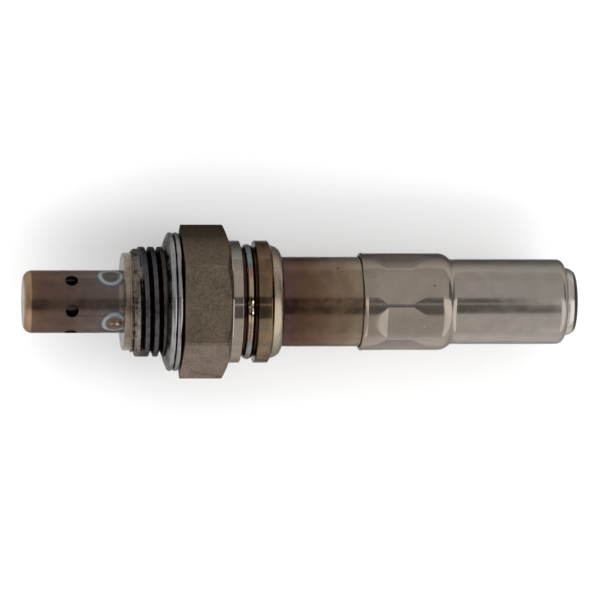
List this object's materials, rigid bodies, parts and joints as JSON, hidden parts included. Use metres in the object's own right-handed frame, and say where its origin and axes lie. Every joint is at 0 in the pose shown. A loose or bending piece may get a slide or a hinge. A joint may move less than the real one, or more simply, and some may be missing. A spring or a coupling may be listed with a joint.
{
  "type": "oxygen sensor",
  "caption": "Heated exhaust gas sensor: perforated protector tube, threaded hexagon shell with a folded gasket, crimped stepped rear sleeve and rubber lead grommet, without leads.",
  "frame": {"origin": "on the thread axis, in the plane of the gasket face that seats on the exhaust boss", "axes": "+X along the axis from the gas end to the lead end, +Z out of a flat of the hexagon, +Y through a corner of it"},
  "size_m": [0.0909, 0.0252, 0.0228],
  "materials": {
    "shell_steel": "turned and plated steel, satin, heat-tinted gold and rose round the buckled bead",
    "gasket_steel": "soft stainless sheet, half bright",
    "protector_steel": "drawn stainless tube, taupe brown from heat",
    "tinted_steel": "drawn stainless tube with brown, rose and gold heat tint",
    "sleeve_steel": "deep-drawn stainless sleeve, satin",
    "contact_steel": "nickel-plated spring sheet",
    "zirconia": "sintered zirconia, matt",
    "alumina": "sintered alumina, matt",
    "talc": "pressed talc powder",
    "black_rubber": "moulded fluorocarbon rubber, smooth",
    "white_film": "porous white film"
  },
  "bodies": {
    "root": {"shell": "shell_steel", "gasket": "gasket_steel", "outer_protector": "protector_steel", "inner_protector": "protector_steel", "seat_washer": "gasket_steel", "ceramic_holder": "alumina", "element_washer": "gasket_steel", "sensing_element": "zirconia", "heater_rod": "alumina", "talc_seal": "talc", "ceramic_sleeve": "alumina", "packing_ring": "gasket_steel", "rear_tube": "tinted_steel", "outer_sleeve": "sleeve_steel", "separator": "alumina", "separator_spring": "contact_steel", "outer_contact": "contact_steel", "inner_contact": "contact_steel", "heater_contact_left": "contact_steel", "heater_contact_right": "contact_steel", "grommet": "black_rubber", "vent_membrane": "white_film", "vent_tube": "contact_steel"}
  },
  "joints": []
}
